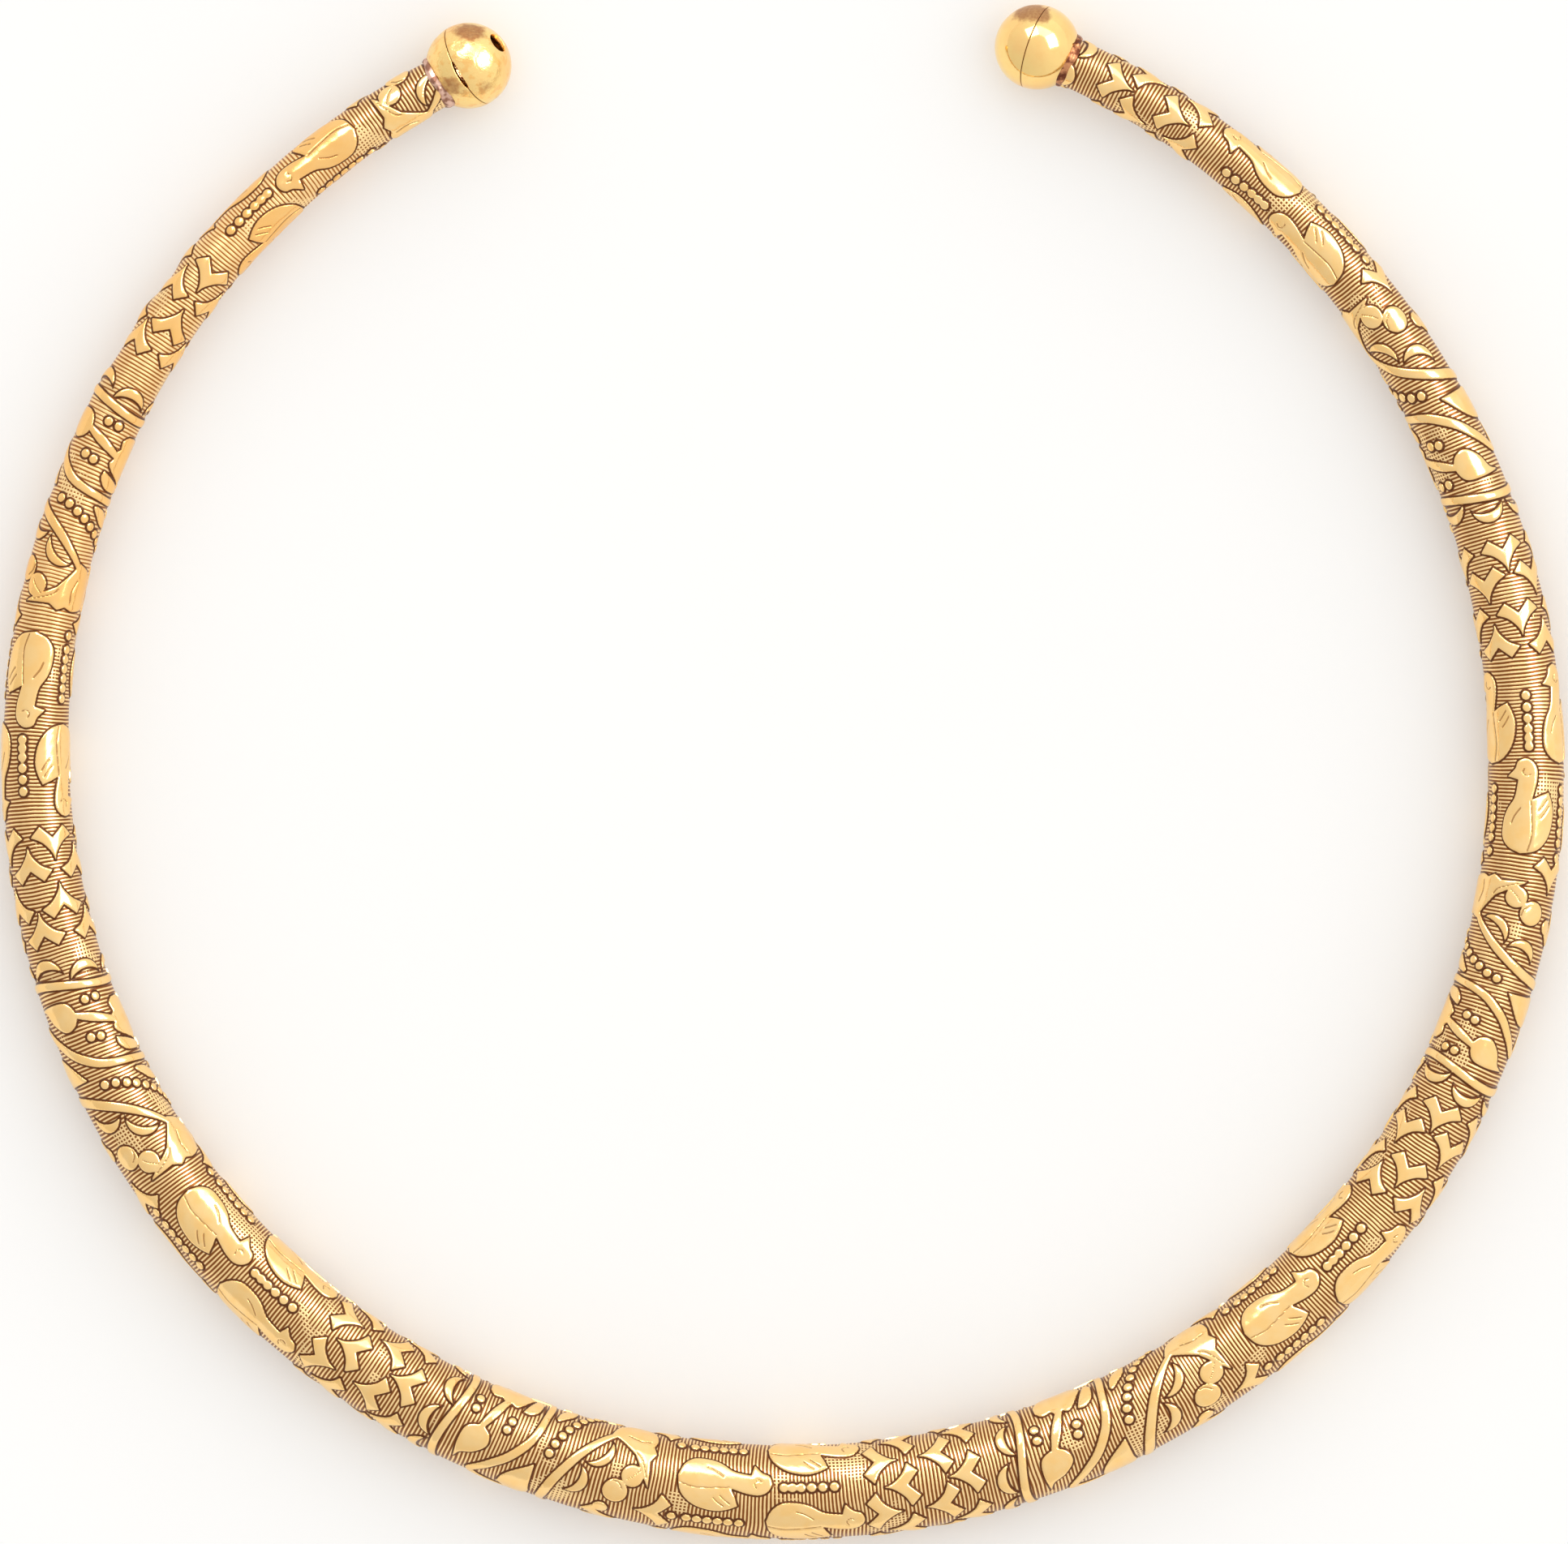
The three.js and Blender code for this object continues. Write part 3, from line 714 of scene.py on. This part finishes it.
# %% The shade class
class Shade:
    """A socket of a shader that takes part in arithmetic."""

    def __init__(self, tree, socket=None):
        self.tree = tree
        self.socket = socket

    def node(self, kind, settings=None, inputs=None, output=0):
        """Adds a node with these settings and inputs, and gives one of its outputs."""
        made = self.tree.nodes.new("ShaderNode" + kind)
        for name, value in (settings or {}).items():
            setattr(made, name, value)
        for key, value in (inputs or {}).items():
            if isinstance(value, Shade):
                self.tree.links.new(value.socket, made.inputs[key])
            else:
                made.inputs[key].default_value = value
        return Shade(self.tree, made.outputs[output])

    def maths(self, operation, *values):
        return self.node("Math", {"operation": operation}, dict(enumerate(values)))

    def __add__(self, other):
        return self.maths("ADD", self, other)

    def __radd__(self, other):
        return self.maths("ADD", other, self)

    def __sub__(self, other):
        return self.maths("SUBTRACT", self, other)

    def __rsub__(self, other):
        return self.maths("SUBTRACT", other, self)

    def __mul__(self, other):
        return self.maths("MULTIPLY", self, other)

    def __rmul__(self, other):
        return self.maths("MULTIPLY", other, self)

    def ramp(self, low, high, start=0.0, end=1.0):
        """Runs smoothly from start to end while this goes from low to high."""
        settings = {"interpolation_type": "SMOOTHSTEP"}
        return self.node("MapRange", settings, {0: self, 1: low, 2: high, 3: start, 4: end})

    def wave(self, length):
        """An even wave from 0 to 1 over this length."""
        return self.maths("SINE", self * (2 * math.pi / length)) * 0.5 + 0.5

    def above(self, other):
        return self.maths("MAXIMUM", self, other)

    def mix(self, a, b):
        """A colour: a where this is 0, b where it is 1."""
        return self.node("Mix", {"data_type": "RGBA"}, {0: self, 6: a, 7: b}, 2)

    def noise(self, where, scale, detail=2.0):
        """Soft noise, mostly from 0.3 to 0.7."""
        return self.node("TexNoise", {}, {"Vector": where, "Scale": scale, "Detail": detail}, 0)

    def parts(self):
        """The three numbers of a vector."""
        kind, inputs = "SeparateXYZ", {0: self}
        return [self.node(kind, {}, inputs, k) for k in range(3)]

    def field(self, name):
        return self.node("Attribute", {"attribute_name": name}, {}, "Vector")

    def bumped(self, level, distance):
        """A normal that follows this level, which stands for a height of distance mm."""
        settings = {"Strength": 1.0, "Distance": distance * MM, "Height": level}
        return self.node("Bump", {}, settings, "Normal")


def new_finish(name):
    """A new material, its shader arithmetic and its main shader node."""
    material = bpy.data.materials.new(name)
    material.use_nodes = True
    tree = material.node_tree
    return material, Shade(tree), tree.nodes["Principled BSDF"]


def feed(shader, **values):
    """Links or sets the main shader's sockets."""
    for name, value in values.items():
        socket = shader.inputs[name.replace("_", " ")]
        if isinstance(value, Shade):
            shader.id_data.links.new(value.socket, socket)
        else:
            socket.default_value = value


def colour(red, green, blue):
    """A colour as the eye reads it, turned into the light that the shader counts in."""
    linear = [c / 12.92 if c < 0.04045 else ((c + 0.055) / 1.055) ** 2.4 for c in (red, green, blue)]
    return (*linear, 1.0)


# %% [markdown]
# ## Struck gold
# The tops of the forms are rubbed bright. The ground between them was cut with fine lines across the
# tube, and in patches with lines along it too, and brown grime sits in the lines, against the edges of
# the forms and in the deep cuts. Bright gold is metal; grime is much less so, and rougher.

# %% The struck gold
bright_gold = colour(1.0, 0.845, 0.585)
deep_gold = colour(1.0, 0.82, 0.53)
orange_gold = colour(0.98, 0.74, 0.42)
ridge_gold = colour(1.0, 0.86, 0.62)
grime = colour(0.53, 0.30, 0.11)
dark_grime = colour(0.38, 0.20, 0.07)
worn_grime = colour(0.75, 0.46, 0.20)
line_pitch = 0.341


def struck_gold():
    material, shade, shader = new_finish("struck_gold")
    strip = shade.field("strip")
    s, v, depth = strip.parts()
    line_gap, tint, dirt = shade.field("wear").parts()
    drift = shade.noise(strip, 0.12)
    fine = shade.noise(strip, 2.2, 4.0)
    top = depth.ramp(-0.05, 0.02)
    across = (s + v * 0.012 + drift * 0.8).wave(line_pitch)
    lengthwise = (v + drift * 0.8).wave(line_pitch)
    crossed = shade.noise(strip, 0.17).ramp(0.56, 0.64)
    lines = across.above(lengthwise * crossed * 0.9)
    rubbed = shade.noise(strip, 0.2, 1.0).ramp(0.5, 0.72)
    lines = lines * 0.9 + fine * 0.3 + rubbed * 0.15 + tint * 0.15
    dark_line = lines.ramp(0.88, 0.48)
    ground = dark_line.mix(ridge_gold, (tint * 0.8).mix(grime, worn_grime))
    edge_line = depth.ramp(-0.26, -0.12) * (1 - top)
    dark = (dirt * 0.65 + edge_line * 0.75) * (0.6 + fine * 0.6)
    ground = dark.ramp(0.15, 0.85).mix(ground, dark_grime)
    polish = shade.noise(strip, 0.6, 3.0).ramp(0.35, 0.7)
    face = polish.mix(bright_gold, deep_gold)
    face = (tint * 0.7).mix(face, orange_gold)
    cut = line_gap.ramp(0.1, 0.03)
    face = (cut * 0.6).mix(face, grime)
    painted = top.mix(ground, face)
    rough = top.ramp(0, 1, 0.28, 0.1) + fine * 0.07
    metal = 1 - (1 - top) * dark_line * 0.45 - dark * (1 - top) * 0.35
    scratch = shade.noise(strip, 6.0, 3.0) * 0.08
    level = (1 - dark_line) * (1 - top) * 0.5 + scratch + top * 1.2 - cut * top
    normal = shade.bumped(level, 0.04)
    feed(shader, Base_Color=painted, Roughness=rough, Metallic=metal, Normal=normal)
    feed(shader, Specular_IOR_Level=0.25)
    return material


tube_finish = struck_gold()
for piece in tube_pieces:
    piece.data.materials.append(tube_finish)

# %% [markdown]
# ## Ball gold and solder
# The balls are plain sheet, polished once and handled since: the right one still shines, the left one is
# scratched and pitted, and both are brown at the back, partly patina and partly a painted dark reflection.
# The solder is a coppery alloy, pink on the left and redder on the right, with dark grime in its pits.


# %% The ball gold
polished_gold = colour(1.0, 0.86, 0.56)
# the brown of the patina, also used for the painted dark reflection on the balls' backs
patina_and_reflection_brown = colour(0.62, 0.38, 0.22)
inside_gold = colour(0.95, 0.76, 0.56)


def ball_gold(name, wear_amount):
    material, shade, shader = new_finish(f"{name}_ball_gold")
    place = shade.node("TexCoord", {}, {}, "Object")
    from_rim, sunk, patina_and_reflection_share = shade.field("ball").parts()
    broad = shade.noise(place, 260.0, 2.0)
    fine = shade.noise(place, 1500.0, 5.0)
    speckle = shade.noise(place, 4200.0, 2.0)
    # the brown here is patina, and on the back of each ball a painted dark reflection
    patina_and_reflection_mask = (patina_and_reflection_share + broad * 0.5 + fine * 0.7 - 0.6).ramp(0.25, 0.7)
    rim = from_rim.ramp(0.12, 0.03)
    face = broad.ramp(0.35, 0.65).mix(polished_gold, deep_gold)
    face = (fine.ramp(0.5, 0.62) * (0.6 * wear_amount)).mix(face, orange_gold)
    face = (patina_and_reflection_mask * (0.55 + speckle * 0.5)).mix(face, patina_and_reflection_brown)
    face = (rim * 0.4).mix(face, patina_and_reflection_brown)
    face = sunk.ramp(0.2, 0.4).mix(face, inside_gold)
    rough = 0.08 + 0.1 * wear_amount + patina_and_reflection_mask * 0.3
    level = fine * (0.25 + wear_amount) + broad * 0.5 + speckle * (0.4 * wear_amount)
    normal = shade.bumped(level, 0.01 + 0.03 * wear_amount)
    feed(shader, Base_Color=face, Roughness=rough, Metallic=1 - patina_and_reflection_mask * 0.4, Normal=normal)
    return material


def solder_finish(name, pale, dark):
    material, shade, shader = new_finish(name)
    place = shade.node("TexCoord", {}, {}, "Object")
    pits = shade.noise(place, 1400.0, 4.0)
    face = pits.ramp(0.42, 0.62).mix(dark, pale)
    normal = shade.bumped(pits, 0.05)
    feed(shader, Base_Color=face, Roughness=pits.ramp(0.3, 0.7, 0.5, 0.3), Metallic=0.85, Normal=normal)
    return material


for name, wear_amount in (("left", 1.0), ("right", 0.15)):
    finish = ball_gold(name, wear_amount)
    for piece in cups[name]:
        piece.data.materials.append(finish)
fillets["left"].data.materials.append(
    solder_finish("pink_solder", colour(0.9, 0.74, 0.66), colour(0.6, 0.42, 0.34))
)
fillets["right"].data.materials.append(
    solder_finish("red_solder", colour(0.80, 0.55, 0.38), colour(0.42, 0.22, 0.14))
)

# %% [markdown]
# ## Camera, floor and light
# The ring lies on a pale table and is seen from straight above through a long lens, so that its sides
# hardly lean. Polished gold shows what is round it, so the room is white and a little brighter towards
# the back and the right. Two soft boxes, high on the right and behind, give the gold its white lights,
# and a dim one fills the space between them.

# %% Camera
scene = bpy.context.scene
frame_width = 140.34 * MM
eye_height = 1.2
silhouette_height = 4 * MM
camera_data = bpy.data.cameras.new("camera")
camera_data.sensor_width = 36
camera_data.lens = 36 * (eye_height - silhouette_height) / frame_width
camera_data.clip_start, camera_data.clip_end = 0.01, 20
camera = bpy.data.objects.new("camera", camera_data)
camera.location = (0.02 * MM, -0.14 * MM, eye_height)
scene.collection.objects.link(camera)
scene.camera = camera
scene.view_settings.view_transform = "Standard"

# %% Floor
floor_half = 4.0
floor_mesh = bpy.data.meshes.new("table")
corners = [(x * floor_half, y * floor_half, 0) for x, y in ((-1, -1), (1, -1), (1, 1), (-1, 1))]
floor_mesh.from_pydata(corners, [], [(0, 1, 2, 3)])
floor = bpy.data.objects.new("table", floor_mesh)
scene.collection.objects.link(floor)
floor_finish, shade, shader = new_finish("pale_table")
mottle = shade.noise(shade.node("TexCoord", {}, {}, "Object"), 30.0).mix(
    colour(0.96, 0.96, 0.955), colour(0.97, 0.97, 0.965)
)
feed(shader, Base_Color=mottle, Roughness=0.9, Emission_Color=(1.0, 1.0, 1.0, 1.0), Emission_Strength=0.1)
floor_mesh.materials.append(floor_finish)

# %% Light
world = bpy.data.worlds.new("studio")
world.use_nodes = True
scene.world = world
tree = world.node_tree
sky = Shade(tree)
way = sky.node("TexCoord", {}, {}, "Generated")
x, y, _ = way.parts()
glow = x * 0.35 + y * 0.35 + 0.5
dim, bright = (0.78, 0.77, 0.76, 1.0), (1.2, 1.19, 1.18, 1.0)
background = tree.nodes["Background"]
tree.links.new(glow.mix(dim, bright).socket, background.inputs[0])
background.inputs[1].default_value = 0.99


softbox_distance, softbox_rise = 0.9, 45


def softbox(name, azimuth, width, height, radiance):
    """A box of light that only the gold's shine sees, so that it throws no shadow on the table."""
    data = bpy.data.lights.new(name, "AREA")
    data.shape = "RECTANGLE"
    data.size, data.size_y = width, height
    data.energy = radiance * math.pi * width * height
    light = bpy.data.objects.new(name, data)
    towards = Vector(pointing(azimuth, softbox_rise))
    light.location = towards * softbox_distance
    light.rotation_euler = towards.to_track_quat("Z", "Y").to_euler()
    light.visible_camera = False
    light.visible_diffuse = False
    scene.collection.objects.link(light)


softbox("right_softbox", 24, 0.5, 0.42, 6.0)
softbox("back_softbox", 106, 0.44, 0.40, 5.0)
softbox("fill_softbox", 64, 0.6, 0.36, 1.4)
